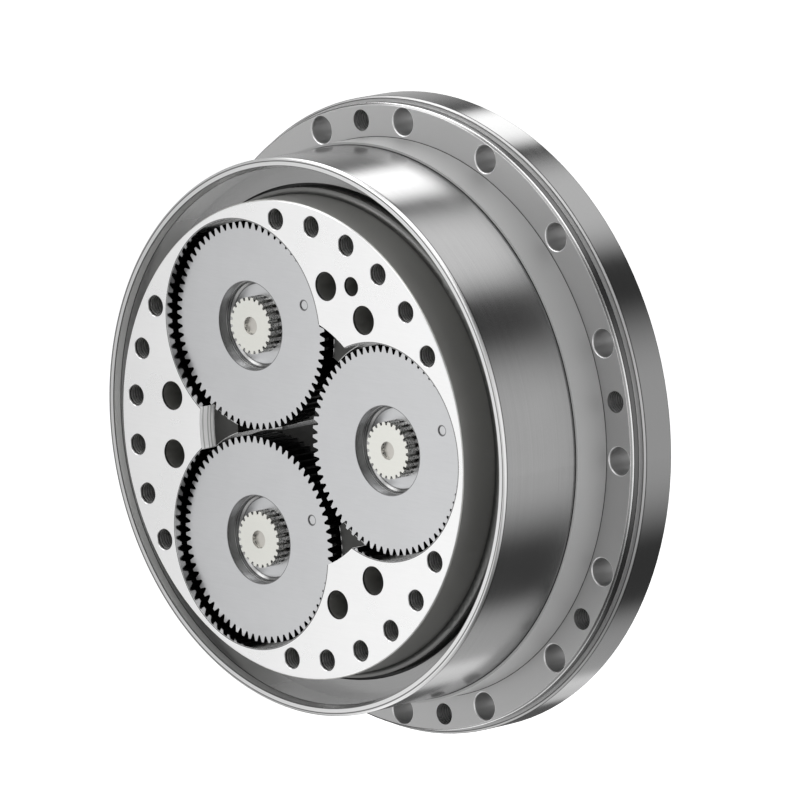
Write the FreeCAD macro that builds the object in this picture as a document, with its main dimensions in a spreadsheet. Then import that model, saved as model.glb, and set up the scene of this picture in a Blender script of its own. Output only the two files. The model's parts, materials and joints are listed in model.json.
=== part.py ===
import FreeCAD, Part
import math
import os

import Sketcher

# Two-stage cycloidal reducer. The axis lies along Y, with the geared side facing -Y.
# The origin is the centre of the flange's front mounting face.

Vector = FreeCAD.Vector
DOCUMENT = FreeCAD.newDocument("cycloidal_reducer")
SHEET_NAME = "sizes"
TURN = 360.0

# Every size is in millimetres or degrees. A size called _diameter is across, one called _offset is
# measured along the axis from the flange's front face, and one called _clearance is a gap.
SIZES = [
    ("case_diameter", 282.0),
    ("case_front_length", 70.5),
    ("case_rear_length", 45.0),
    ("case_bore_diameter", 271.2),
    ("rim_opening_diameter", 273.8),
    ("rim_taper_length", 3.9),
    ("rim_rounding", 1.6),
    ("pilot_diameter", 285.0),
    ("pilot_length", 20.4),
    ("flange_diameter", 325.0),
    ("flange_thickness", 26.4),
    ("flange_step_height", 2.7),
    ("flange_step_length", 6.5),
    ("flange_edge_chamfer", 1.2),
    ("flange_hole_diameter", 14.0),
    ("flange_hole_inset", 11.3),
    ("flange_hole_count", 16),
    ("flange_hole_chamfer", 0.5),
    ("dowel_hole_diameter", 11.0),
    ("dowel_hole_angle", 11.25),
    ("pin_circle", 236.0),
    ("pin_diameter", 10.0),
    ("pin_count", 40),
    ("pin_end_play", 0.1),
    ("pin_zone_diameter", 237.6),
    ("eccentricity", 2.2),
    ("lobe_clearance", 0.25),
    ("disc_thickness", 20.0),
    ("disc_spacing", 2.0),
    ("disc_bore_diameter", 64.0),
    ("stack_offset", 20.0),
    ("stack_clearance", 1.0),
    ("crank_angle", 2.9),
    ("crank_circle", 125.56),
    ("gear_teeth", 70),
    ("pinion_teeth", 16),
    ("pressure_angle", 20.0),
    ("gear_thickness", 16.0),
    ("gear_recess", 5.7),
    ("gear_counterbore_diameter", 45.0),
    ("gear_counterbore_depth", 5.2),
    ("gear_ledge_width", 0.6),
    ("gear_wall_depth", 7.0),
    ("gear_floor_diameter", 41.0),
    ("gear_floor_depth", 8.2),
    ("timing_mark_circle", 82.0),
    ("timing_mark_diameter", 5.0),
    ("timing_mark_depth", 0.5),
    ("timing_mark_angle", 22.5),
    ("spline_diameter", 28.8),
    ("spline_depth", 1.6),
    ("spline_teeth", 23),
    ("crank_journal_diameter", 32.0),
    ("crank_eccentric_diameter", 40.0),
    ("crank_centre_hole_diameter", 9.2),
    ("crank_centre_hole_depth", 18.0),
    ("crank_bearing_diameter", 56.0),
    ("crank_bearing_width", 15.0),
    ("crank_bearing_tilt", 12.0),
    ("crank_roller_diameter", 5.4),
    ("crank_roller_length", 9.0),
    ("crank_roller_count", 10),
    ("crank_roller_clearance", 0.15),
    ("eccentric_roller_diameter", 4.0),
    ("eccentric_roller_length", 16.0),
    ("eccentric_roller_count", 10),
    ("eccentric_roller_clearance", 0.2),
    ("main_bearing_width", 15.0),
    ("main_bearing_bore", 226.0),
    ("main_bearing_tilt", 14.0),
    ("main_roller_diameter", 8.0),
    ("main_roller_length", 7.8),
    ("main_roller_count", 30),
    ("main_roller_clearance", 0.25),
    ("bearing_rib", 2.5),
    ("front_seal_offset", 49.9),
    ("front_seal_width", 10.0),
    ("front_seal_inner_diameter", 251.6),
    ("rear_seal_recess", 1.0),
    ("rear_seal_width", 5.5),
    ("seal_lip_width", 4.0),
    ("seal_lip_clearance", 0.1),
    ("carrier_face_offset", 79.4),
    ("carrier_diameter", 242.0),
    ("carrier_land_diameter", 248.0),
    ("carrier_land_offset", 54.3),
    ("carrier_land_fillet", 3.0),
    ("carrier_edge_chamfer", 0.6),
    ("carrier_bore_diameter", 60.0),
    ("carrier_shaft_bore_diameter", 46.0),
    ("pocket_clearance", 2.1),
    ("pocket_floor_clearance", 2.0),
    ("tip_counterbore_diameter", 130.0),
    ("tip_counterbore_depth", 10.2),
    ("inner_counterbore_diameter", 96.0),
    ("output_hole_circle", 222.6),
    ("output_hole_diameter", 10.2),
    ("output_hole_depth", 24.0),
    ("output_hole_chamfer", 0.5),
    ("output_hole_pitch", 13.0),
    ("output_holes_per_column", 6),
    ("bolt_circle", 171.0),
    ("bolt_spread", 10.0),
    ("bolt_hole_diameter", 14.8),
    ("bolt_head_diameter", 14.0),
    ("bolt_head_height", 10.0),
    ("bolt_head_offset", 50.0),
    ("bolt_diameter", 10.0),
    ("bolt_shank_clearance", 0.5),
    ("bolt_socket_width", 8.0),
    ("bolt_socket_depth", 5.0),
    ("bolt_thread_length", 18.0),
    ("locating_pin_circle", 188.8),
    ("locating_pin_diameter", 9.8),
    ("locating_pin_length", 44.0),
    ("column_inner_radius", 72.0),
    ("column_outer_radius", 100.0),
    ("column_half_angle", 17.0),
    ("column_fillet", 4.0),
    ("window_clearance", 1.2),
    ("rear_plate_offset", 46.5),
    ("rear_land_diameter", 236.0),
    ("rear_bore_diameter", 60.0),
    ("end_cap_thickness", 3.5),
    ("end_cap_recess", 1.0),
    ("edge_break", 0.5),
]


class Size:
    """A number and the sheet formula that gives it."""

    def __init__(self, number, formula):
        self.number = number
        self.formula = formula

    def __add__(self, other):
        other = as_size(other)
        return Size(self.number + other.number, f"({self.formula} + {other.formula})")

    def __sub__(self, other):
        other = as_size(other)
        return Size(self.number - other.number, f"({self.formula} - {other.formula})")

    def __mul__(self, other):
        other = as_size(other)
        return Size(self.number * other.number, f"({self.formula} * {other.formula})")

    def __truediv__(self, other):
        other = as_size(other)
        return Size(self.number / other.number, f"({self.formula} / {other.formula})")

    def __radd__(self, other):
        return as_size(other) + self

    def __rsub__(self, other):
        return as_size(other) - self

    def __rmul__(self, other):
        return as_size(other) * self

    def __rtruediv__(self, other):
        return as_size(other) / self

    def __neg__(self):
        return Size(-self.number, f"(0 - {self.formula})")


class Sheet:
    """The spreadsheet of driving sizes, read as attributes."""

    def __init__(self, rows):
        self.sheet = DOCUMENT.addObject("Spreadsheet::Sheet", SHEET_NAME)
        self.names = [name for name, number in rows]
        for line, (name, number) in enumerate(rows, 1):
            self.sheet.set(f"A{line}", name)
            self.sheet.set(f"B{line}", str(number))
            self.sheet.setAlias(f"B{line}", name)
        DOCUMENT.recompute()

    def __getattr__(self, name):
        if name not in self.names:
            raise AttributeError(name)
        return Size(float(self.sheet.get(name)), f"{SHEET_NAME}.{name}")

    def count(self, name):
        return int(self.sheet.get(name))


def as_size(value):
    return value if isinstance(value, Size) else Size(float(value), f"{float(value):.9f}")


def cosine(angle):
    angle = as_size(angle)
    return Size(math.cos(math.radians(angle.number)), f"cos({angle.formula} * 1 deg)")


def sine(angle):
    angle = as_size(angle)
    return Size(math.sin(math.radians(angle.number)), f"sin({angle.formula} * 1 deg)")


def tangent(angle):
    return sine(angle) / cosine(angle)


def smaller(first, second):
    first = as_size(first)
    second = as_size(second)
    return Size(min(first.number, second.number), f"min({first.formula}; {second.formula})")


S = Sheet(SIZES)

# Levels along the axis
STACK_FRONT = -S.stack_offset
STACK_REAR = STACK_FRONT + 2 * S.disc_thickness + S.disc_spacing
INNER_FRONT = STACK_FRONT - S.stack_clearance
INNER_REAR = STACK_REAR + S.stack_clearance
CARRIER_FACE = -S.carrier_face_offset
GEAR_FRONT = CARRIER_FACE + S.gear_recess
GEAR_REAR = GEAR_FRONT + S.gear_thickness
POCKET_FLOOR = GEAR_REAR + S.pocket_floor_clearance
CASE_FRONT = -S.case_front_length
CASE_REAR = S.case_rear_length
FRONT_BEARING_END = INNER_FRONT - S.main_bearing_width
REAR_BEARING_END = INNER_REAR + S.main_bearing_width
REAR_FACE = S.rear_plate_offset

# Radii about the reducer's axis
PIN_RADIUS = S.pin_diameter / 2
PIN_CIRCLE_RADIUS = S.pin_circle / 2
CRANK_CIRCLE_RADIUS = S.crank_circle / 2
GEAR_MODULE = S.crank_circle / (S.gear_teeth + S.pinion_teeth)
GEAR_TIP_RADIUS = GEAR_MODULE * (S.gear_teeth + 2) / 2
POCKET_RADIUS = GEAR_TIP_RADIUS + S.pocket_clearance
DISC_HOLE_RADIUS = S.crank_eccentric_diameter / 2 + S.eccentric_roller_diameter + S.eccentric_roller_clearance

CRANKS = (1, 2, 3)
ROTATE_Z_TO_Y = FreeCAD.Rotation(Vector(1, 0, 0), -90)
AXIS_Y = Vector(0, 1, 0)
SUB_PARTS = []


def crank_direction(number):
    return S.crank_angle + (number - 1) * TURN / 3


def column_direction(number):
    return crank_direction(number) + TURN / 6


def new_body(label):
    body = DOCUMENT.addObject("PartDesign::Body", label)
    body.Label = label
    body.AllowCompound = True
    SUB_PARTS.append(body)
    return body


def datum(body, role):
    return next(item for item in body.Origin.OriginFeatures if item.Role == role)


def polygon_sketch(body, name, role, points, level=None):
    """A closed outline of straight lines whose corners are held by formulas from the sheet."""
    sketch = body.newObject("Sketcher::SketchObject", name)
    sketch.AttachmentSupport = (datum(body, role), [""])
    sketch.MapMode = "FlatFace"
    if level is not None:
        sketch.setExpression("AttachmentOffset.Base.z", (-as_size(level)).formula)
    corners = [(as_size(across), as_size(along)) for across, along in points]
    flat = [Vector(across.number, along.number, 0) for across, along in corners]
    lines = [Part.LineSegment(flat[i], flat[(i + 1) % len(flat)]) for i in range(len(flat))]
    sketch.addGeometry(lines, False)
    for i in range(len(flat)):
        sketch.addConstraint(Sketcher.Constraint("Coincident", i, 2, (i + 1) % len(flat), 1))
    for i, pair in enumerate(corners):
        for kind, size in zip(("DistanceX", "DistanceY"), pair):
            index = sketch.addConstraint(Sketcher.Constraint(kind, -1, 1, i, 1, size.number))
            sketch.setExpression(f"Constraints[{index}]", size.formula)
    return sketch


def turn(body, name, points):
    """A solid of revolution about Y; the points are radius and level."""
    sketch = polygon_sketch(body, name + "_section", "XY_Plane", points)
    feature = body.newObject("PartDesign::Revolution", name)
    feature.Profile = sketch
    feature.ReferenceAxis = (sketch, ["V_Axis"])
    feature.Angle = TURN
    sketch.Visibility = False
    return feature


def cut_along(body, name, points, start, length):
    """A cut of a flat outline in X and Z, from the level start towards +Y."""
    sketch = polygon_sketch(body, name + "_outline", "XZ_Plane", points, start)
    feature = body.newObject("PartDesign::Pocket", name)
    feature.Profile = sketch
    feature.setExpression("Length", as_size(length).formula)
    return feature


def placed(feature, across, level, up):
    """Stands a primitive on the point given, with its axis along +Y."""
    feature.Placement = FreeCAD.Placement(Vector(0, 0, 0), ROTATE_Z_TO_Y)
    for path, size in zip(("x", "y", "z"), (across, level, up)):
        feature.setExpression(f"Placement.Base.{path}", as_size(size).formula)


def round_feature(body, kind, name, radius, start, length, circle, angle, times):
    feature = body.newObject(kind, name)
    feature.setExpression("Radius", as_size(radius).formula)
    feature.setExpression("Height", as_size(length).formula)
    placed(feature, circle * cosine(angle), start, circle * sine(angle))
    if times is not None:
        repeat(body, feature, times)


def drill(body, name, radius, start, length, circle=0, angle=0, times=None):
    round_feature(body, "PartDesign::SubtractiveCylinder", name, radius, start, length, circle, angle, times)


def peg(body, name, radius, start, length, circle=0, angle=0, times=None):
    round_feature(body, "PartDesign::AdditiveCylinder", name, radius, start, length, circle, angle, times)


def chamfer_mouth(body, name, radius, start, width, circle=0, angle=0, times=None):
    """A chamfer round the mouth of a hole that is drilled from the level start."""
    feature = body.newObject("PartDesign::SubtractiveCone", name)
    feature.setExpression("Radius1", as_size(radius + width).formula)
    feature.setExpression("Radius2", as_size(radius).formula)
    feature.setExpression("Height", as_size(width).formula)
    placed(feature, circle * cosine(angle), start, circle * sine(angle))
    if times is not None:
        repeat(body, feature, times)


def repeat(body, feature, count):
    """Repeats the body's last feature evenly about the body's own Y axis."""
    pattern = body.newObject("PartDesign::PolarPattern", feature.Label + "_round")
    pattern.Originals = [feature]
    pattern.Axis = (datum(body, "Y_Axis"), [""])
    pattern.Angle = TURN
    pattern.setExpression("Occurrences", as_size(count).formula)
    body.Tip = pattern


def ring_edges(body, rings):
    """Names of the full circular edges about Y at the radii and levels given."""
    found = []
    for index, edge in enumerate(body.Shape.Edges, 1):
        if not isinstance(edge.Curve, Part.Circle):
            continue
        centre = edge.Curve.Center
        for radius, level in rings:
            same_radius = abs(edge.Curve.Radius - as_size(radius).number) < 0.01
            same_level = abs(centre.y - as_size(level).number) < 0.01
            on_axis = math.hypot(centre.x, centre.z) < 0.01
            if same_radius and same_level and on_axis:
                found.append(f"Edge{index}")
    return found


def dress(body, kind, name, rings, size):
    """Rounds or chamfers the ring edges at the radii and levels given."""
    DOCUMENT.recompute()
    base = body.Tip
    edges = ring_edges(body, rings)
    feature = body.newObject(kind, name)
    feature.Base = (base, edges)
    path = "Radius" if kind.endswith("Fillet") else "Size"
    feature.setExpression(path, as_size(size).formula)
    body.Tip = feature
    return feature


def upright_edges(body, corners):
    """Names of the edges along Y that stand on the corners given as X and Z."""
    found = []
    for index, edge in enumerate(body.Shape.Edges, 1):
        ends = [vertex.Point for vertex in edge.Vertexes]
        if len(ends) != 2 or abs(ends[0].y - ends[1].y) < 0.01:
            continue
        for across, up in corners:
            if all(math.hypot(end.x - across, end.z - up) < 0.01 for end in ends):
                found.append(f"Edge{index}")
    return found


def stand_at_crank(body, number, turned=0.0):
    """Moves a body that is modelled about its own axis to its crank's axis."""
    direction = crank_direction(number)
    body.Placement = FreeCAD.Placement(Vector(0, 0, 0), FreeCAD.Rotation(AXIS_Y, -turned))
    body.setExpression("Placement.Base.x", (CRANK_CIRCLE_RADIUS * cosine(direction)).formula)
    body.setExpression("Placement.Base.z", (CRANK_CIRCLE_RADIUS * sine(direction)).formula)


def plain_part(label, shape):
    """A sub-part whose outline follows a formula that sketches don't hold."""
    feature = DOCUMENT.addObject("Part::Feature", label)
    feature.Label = label
    feature.Shape = shape
    SUB_PARTS.append(feature)
    return feature


# Case


def case():
    body = new_body("case")
    outer = S.case_diameter / 2
    pilot = S.pilot_diameter / 2
    flange = S.flange_diameter / 2
    step = flange - S.flange_step_height
    bore = S.case_bore_diameter / 2
    zone = S.pin_zone_diameter / 2
    turn(
        body,
        "case_wall",
        [
            (S.rim_opening_diameter / 2, CASE_FRONT),
            (outer, CASE_FRONT),
            (outer, -S.pilot_length),
            (pilot, -S.pilot_length),
            (pilot, 0),
            (step, 0),
            (step, S.flange_step_length),
            (flange, S.flange_step_length),
            (flange, S.flange_thickness),
            (outer, S.flange_thickness),
            (outer, CASE_REAR),
            (bore, CASE_REAR),
            (bore, INNER_REAR),
            (zone, INNER_REAR),
            (zone, INNER_FRONT),
            (bore, INNER_FRONT),
            (bore, CASE_FRONT + S.rim_taper_length),
        ],
    )
    dress(body, "PartDesign::Fillet", "rim_round", [(outer, CASE_FRONT)], S.rim_rounding)
    step_chamfer = smaller(S.flange_edge_chamfer, (step - pilot) / 2)
    edge_chamfer = smaller(S.flange_edge_chamfer, S.flange_step_height / 2)
    edge_rings = [(flange, S.flange_step_length), (flange, S.flange_thickness)]
    dress(body, "PartDesign::Chamfer", "step_chamfer", [(step, 0)], step_chamfer)
    dress(body, "PartDesign::Chamfer", "flange_chamfers", edge_rings, edge_chamfer)
    dress(body, "PartDesign::Chamfer", "rear_chamfer", [(outer, CASE_REAR)], S.edge_break)
    inner_length = INNER_REAR - INNER_FRONT
    drill(body, "pin_seat", PIN_RADIUS, INNER_FRONT, inner_length, PIN_CIRCLE_RADIUS, 0, S.pin_count)
    circle = flange - S.flange_hole_inset
    depth = S.flange_thickness
    hole = S.flange_hole_diameter / 2
    count = S.flange_hole_count
    drill(body, "flange_hole", hole, 0, depth, circle, TURN / 4, count)
    chamfer_mouth(body, "flange_hole_chamfer", hole, 0, S.flange_hole_chamfer, circle, TURN / 4, count)
    for pair, steps in enumerate((1, -7, -11), 1):
        angle = TURN / 4 + steps * S.dowel_hole_angle
        drill(body, f"dowel_hole_{pair}", S.dowel_hole_diameter / 2, 0, depth, circle, angle, 2)


def ring_pins():
    body = new_body("ring_pins")
    start = INNER_FRONT + S.pin_end_play
    length = INNER_REAR - INNER_FRONT - 2 * S.pin_end_play
    peg(body, "ring_pin", PIN_RADIUS, start, length, PIN_CIRCLE_RADIUS, 0, S.pin_count)


# Main bearings


def main_pitch_radius():
    return (S.case_bore_diameter + S.main_bearing_bore) / 4


def race_radius(side, depth):
    """Radius of a main race at a depth from the bearing's inner face: side 1 is the cup, -1 the cone."""
    reach = (S.main_roller_diameter / 2) / cosine(S.main_bearing_tilt)
    slope = (depth - S.main_bearing_width / 2) * tangent(S.main_bearing_tilt)
    return main_pitch_radius() + side * (reach + S.main_roller_clearance) + slope


def main_bearing(end, face, outward):
    """Rings and rollers of one main bearing; outward is -1 at the front and 1 at the rear."""
    width = S.main_bearing_width
    rib = S.bearing_rib

    def level(depth):
        return face + outward * as_size(depth)

    case_seat = S.case_bore_diameter / 2
    pin_stop = PIN_CIRCLE_RADIUS + PIN_RADIUS / 2
    cup = new_body(f"main_bearing_cup_{end}")
    turn(
        cup,
        f"cup_{end}",
        [
            (case_seat, level(0)),
            (case_seat, level(width)),
            (race_radius(1, width), level(width)),
            (race_radius(1, rib), level(rib)),
            (pin_stop, level(rib)),
            (pin_stop, level(0)),
        ],
    )
    carrier_seat = S.main_bearing_bore / 2
    cone_rib = main_pitch_radius() - S.main_roller_diameter / 4
    cone = new_body(f"main_bearing_cone_{end}")
    turn(
        cone,
        f"cone_{end}",
        [
            (carrier_seat, level(0)),
            (race_radius(-1, 0), level(0)),
            (race_radius(-1, width - rib), level(width - rib)),
            (cone_rib, level(width - rib)),
            (cone_rib, level(width)),
            (carrier_seat, level(width)),
        ],
    )
    rollers = new_body(f"main_rollers_{end}")
    tilt = S.main_bearing_tilt
    half = S.main_roller_length / 2
    roller = rollers.newObject("PartDesign::AdditiveCylinder", f"main_roller_{end}")
    roller.setExpression("Radius", (S.main_roller_diameter / 2).formula)
    roller.setExpression("Height", S.main_roller_length.formula)
    direction = Vector(sine(tilt).number, outward * cosine(tilt).number, 0)
    turning = FreeCAD.Rotation(Vector(0, 0, 1), direction)
    roller.Placement = FreeCAD.Placement(Vector(0, 0, 0), turning)
    start_radius = main_pitch_radius() - half * sine(tilt)
    start_level = level(width / 2 - half * cosine(tilt))
    roller.setExpression("Placement.Base.x", start_radius.formula)
    roller.setExpression("Placement.Base.y", start_level.formula)
    repeat(rollers, roller, S.main_roller_count)


# Seals


def seals():
    front = -S.front_seal_offset
    case_seat = S.case_bore_diameter / 2
    inner = S.front_seal_inner_diameter / 2
    shell = new_body("front_seal_shell")
    turn(
        shell,
        "front_shell",
        [
            (inner, front),
            (case_seat, front),
            (case_seat, front + S.front_seal_width),
            (case_seat - S.seal_lip_width, front + S.front_seal_width),
            (case_seat - S.seal_lip_width, front + S.seal_lip_width),
            (inner, front + S.seal_lip_width),
        ],
    )
    land = S.carrier_land_diameter / 2 + S.seal_lip_clearance
    lip = new_body("front_seal_lip")
    lip_front = front + S.seal_lip_width
    turn(
        lip,
        "front_lip",
        [
            (land, lip_front),
            (case_seat - S.seal_lip_width, lip_front),
            (case_seat - S.seal_lip_width, front + S.front_seal_width - S.edge_break),
            (inner, front + S.front_seal_width - S.edge_break),
            (inner, lip_front + S.seal_lip_width / 2),
            (land, lip_front + S.seal_lip_width / 4),
        ],
    )
    rear_end = CASE_REAR - S.rear_seal_recess
    rear_land = S.rear_land_diameter / 2 + S.seal_lip_clearance
    rear = new_body("rear_seal")
    turn(
        rear,
        "rear_ring",
        [
            (rear_land, rear_end),
            (rear_land + S.seal_lip_width / 4, rear_end - S.rear_seal_width),
            (case_seat, rear_end - S.rear_seal_width),
            (case_seat, rear_end),
        ],
    )


# Carrier


def sector_outline(inner, outer, half_angle, direction, grown):
    """A ring sector with its walls moved outwards by the size grown, as a flat face."""
    low = inner - grown
    high = outer + grown
    spread = math.radians(half_angle) + math.asin(grown / low)
    middle = math.radians(direction)

    def at(radius, angle):
        return Vector(radius * math.cos(angle), 0, radius * math.sin(angle))

    first = middle - spread
    last = middle + spread
    edges = [
        Part.Arc(at(high, first), at(high, middle), at(high, last)).toShape(),
        Part.LineSegment(at(high, last), at(low, last)).toShape(),
        Part.Arc(at(low, last), at(low, middle), at(low, first)).toShape(),
        Part.LineSegment(at(low, first), at(high, first)).toShape(),
    ]
    return Part.Face(Part.Wire(edges))


def column(body, number):
    """One of the carrier's three columns, from the plate back to the rear plate."""
    sketch = body.newObject("Sketcher::SketchObject", f"column_outline_{number}")
    sketch.AttachmentSupport = (datum(body, "XZ_Plane"), [""])
    sketch.MapMode = "FlatFace"
    sketch.setExpression("AttachmentOffset.Base.z", (-INNER_FRONT).formula)
    direction = column_direction(number)
    radii = {"high": S.column_outer_radius, "low": S.column_inner_radius}
    origin = Vector(0, 0, 0)
    up = Vector(0, 0, 1)
    first = direction - S.column_half_angle
    last = direction + S.column_half_angle

    def corner(radius, angle):
        return Vector((radius * cosine(angle)).number, (radius * sine(angle)).number, 0)

    for key in ("high", "low"):
        circle = Part.Circle(origin, up, radii[key].number)
        start = math.radians(first.number)
        end = math.radians(last.number)
        sketch.addGeometry(Part.ArcOfCircle(circle, start, end), False)
    sketch.addGeometry(Part.LineSegment(corner(radii["high"], last), corner(radii["low"], last)), False)
    sketch.addGeometry(Part.LineSegment(corner(radii["low"], first), corner(radii["high"], first)), False)
    for ends in ((0, 2, 2, 1), (2, 2, 1, 2), (1, 1, 3, 1), (3, 2, 0, 1)):
        sketch.addConstraint(Sketcher.Constraint("Coincident", *ends))
    for arc, key in enumerate(("high", "low")):
        sketch.addConstraint(Sketcher.Constraint("Coincident", arc, 3, -1, 1))
        index = sketch.addConstraint(Sketcher.Constraint("Radius", arc, radii[key].number))
        sketch.setExpression(f"Constraints[{index}]", radii[key].formula)
    for arc, key in enumerate(("high", "low")):
        for point, angle in ((1, first), (2, last)):
            upright = abs(sine(angle).number) > abs(cosine(angle).number)
            kind = "DistanceX" if upright else "DistanceY"
            size = radii[key] * (cosine(angle) if upright else sine(angle))
            index = sketch.addConstraint(Sketcher.Constraint(kind, -1, 1, arc, point, size.number))
            sketch.setExpression(f"Constraints[{index}]", size.formula)
    pad = body.newObject("PartDesign::Pad", f"column_{number}")
    pad.Profile = sketch
    pad.Reversed = True
    pad.setExpression("Length", (INNER_REAR - INNER_FRONT).formula)
    return pad


def column_corners(number):
    """The four corners of a column, as X and Z."""
    corners = []
    for radius in (S.column_inner_radius, S.column_outer_radius):
        for side in (-1, 1):
            angle = column_direction(number) + side * S.column_half_angle
            corners.append(((radius * cosine(angle)).number, (radius * sine(angle)).number))
    return corners


def carrier():
    body = new_body("carrier")
    outer = S.carrier_diameter / 2
    land = S.carrier_land_diameter / 2
    seat = S.main_bearing_bore / 2
    bore = S.carrier_bore_diameter / 2
    land_front = -S.carrier_land_offset
    turn(
        body,
        "carrier_plate",
        [
            (bore, CARRIER_FACE),
            (outer, CARRIER_FACE),
            (outer, land_front),
            (land, land_front),
            (land, FRONT_BEARING_END),
            (seat, FRONT_BEARING_END),
            (seat, INNER_FRONT),
            (bore, INNER_FRONT),
        ],
    )
    land_fillet = S.carrier_land_fillet - S.edge_break
    dress(body, "PartDesign::Fillet", "land_fillet", [(outer, land_front)], land_fillet)
    dress(body, "PartDesign::Chamfer", "face_chamfer", [(outer, CARRIER_FACE)], S.carrier_edge_chamfer)
    drill(body, "tip_counterbore", S.tip_counterbore_diameter / 2, CARRIER_FACE, S.tip_counterbore_depth)
    floor_depth = POCKET_FLOOR - CARRIER_FACE
    drill(body, "inner_counterbore", S.inner_counterbore_diameter / 2, CARRIER_FACE, floor_depth)
    first = crank_direction(1)
    shaft_bore = S.carrier_shaft_bore_diameter / 2
    bearing_seat = S.crank_bearing_diameter / 2
    circle = CRANK_CIRCLE_RADIUS
    bearing_front = INNER_FRONT - S.crank_bearing_width
    drill(body, "gear_pocket", POCKET_RADIUS, CARRIER_FACE, floor_depth, circle, first, 3)
    drill(body, "shaft_bore", shaft_bore, POCKET_FLOOR, INNER_FRONT - POCKET_FLOOR, circle, first, 3)
    drill(body, "bearing_bore", bearing_seat, bearing_front, S.crank_bearing_width, circle, first, 3)
    corners = []
    for number in CRANKS:
        column(body, number)
        corners += column_corners(number)
    DOCUMENT.recompute()
    base = body.Tip
    edges = upright_edges(body, corners)
    rounding = body.newObject("PartDesign::Fillet", "column_fillets")
    rounding.Base = (base, edges)
    rounding.setExpression("Radius", S.column_fillet.formula)
    body.Tip = rounding
    middle = column_direction(1)
    hole_count = S.count("output_holes_per_column")
    hole_radius = S.output_hole_diameter / 2
    circle = S.output_hole_circle / 2
    for index in range(hole_count):
        angle = middle + (index - (hole_count - 1) / 2) * S.output_hole_pitch
        name = f"output_hole_{index + 1}"
        drill(body, name, hole_radius, CARRIER_FACE, S.output_hole_depth, circle, angle, 3)
        width = S.output_hole_chamfer
        chamfer_mouth(body, f"{name}_chamfer", hole_radius, CARRIER_FACE, width, circle, angle, 3)
    shank_hole = S.bolt_diameter / 2 + S.bolt_shank_clearance
    head_hole = S.bolt_hole_diameter / 2
    head_seat = -S.bolt_head_offset
    circle = S.bolt_circle / 2
    for index, side in enumerate((-1, 1), 1):
        angle = middle + side * S.bolt_spread
        drill(body, f"bolt_hole_{index}", head_hole, CARRIER_FACE, head_seat - CARRIER_FACE, circle, angle, 3)
        drill(body, f"shank_hole_{index}", shank_hole, head_seat, INNER_REAR - head_seat, circle, angle, 3)
    pin_radius = S.locating_pin_diameter / 2
    circle = S.locating_pin_circle / 2
    drill(body, "locating_hole", pin_radius, CARRIER_FACE, INNER_REAR - CARRIER_FACE, circle, middle)


def rear_plate():
    body = new_body("rear_plate")
    seat = S.main_bearing_bore / 2
    land = S.rear_land_diameter / 2
    bore = S.rear_bore_diameter / 2
    turn(
        body,
        "plate",
        [
            (bore, INNER_REAR),
            (seat, INNER_REAR),
            (seat, REAR_BEARING_END),
            (land, REAR_BEARING_END),
            (land, REAR_FACE),
            (bore, REAR_FACE),
        ],
    )
    dress(body, "PartDesign::Chamfer", "rear_edge", [(land, REAR_FACE), (bore, REAR_FACE)], S.edge_break)
    first = crank_direction(1)
    shaft_bore = S.carrier_shaft_bore_diameter / 2
    circle = CRANK_CIRCLE_RADIUS
    seat = S.crank_bearing_diameter / 2
    drill(body, "rear_shaft_bore", shaft_bore, INNER_REAR, REAR_FACE - INNER_REAR, circle, first, 3)
    drill(body, "rear_bearing_bore", seat, INNER_REAR, S.crank_bearing_width, circle, first, 3)
    middle = column_direction(1)
    thread = S.bolt_diameter / 2
    circle = S.bolt_circle / 2
    for index, side in enumerate((-1, 1), 1):
        angle = middle + side * S.bolt_spread
        drill(body, f"thread_hole_{index}", thread, INNER_REAR, S.bolt_thread_length, circle, angle, 3)
    pin_radius = S.locating_pin_diameter / 2
    circle = S.locating_pin_circle / 2
    drill(body, "rear_locating_hole", pin_radius, INNER_REAR, S.bolt_thread_length, circle, middle)


def tie_bolts():
    body = new_body("tie_bolts")
    head_seat = -S.bolt_head_offset
    head_top = head_seat - S.bolt_head_height
    shank_length = INNER_REAR + S.bolt_thread_length - S.edge_break - head_seat
    circle = S.bolt_circle / 2
    for index, side in enumerate((-1, 1), 1):
        angle = column_direction(1) + side * S.bolt_spread
        head = S.bolt_head_diameter / 2
        peg(body, f"bolt_head_{index}", head, head_top, S.bolt_head_height, circle, angle, 3)
        peg(body, f"bolt_shank_{index}", S.bolt_diameter / 2, head_seat, shank_length, circle, angle, 3)
        socket = body.newObject("PartDesign::SubtractivePrism", f"bolt_socket_{index}")
        socket.Polygon = 6
        socket.setExpression("Circumradius", (S.bolt_socket_width / 2 / cosine(TURN / 12)).formula)
        socket.setExpression("Height", S.bolt_socket_depth.formula)
        placed(socket, circle * cosine(angle), head_top, circle * sine(angle))
        repeat(body, socket, 3)


def locating_pin():
    body = new_body("locating_pin")
    end = INNER_REAR + S.bolt_thread_length
    peg(
        body,
        "pin",
        S.locating_pin_diameter / 2,
        end - S.locating_pin_length,
        S.locating_pin_length,
        S.locating_pin_circle / 2,
        column_direction(1),
    )


# Crank bearings


def crank_pitch_radius():
    return (S.crank_bearing_diameter + S.crank_journal_diameter) / 4


def crank_race_radius(side, depth):
    reach = (S.crank_roller_diameter / 2) / cosine(S.crank_bearing_tilt)
    play = S.crank_roller_clearance if side > 0 else as_size(0)
    slope = (depth - S.crank_bearing_width / 2) * tangent(S.crank_bearing_tilt)
    return crank_pitch_radius() + side * (reach + play) + slope


def crank_bearing_ends():
    return (("front", INNER_FRONT, -1), ("rear", INNER_REAR, 1))


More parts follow.
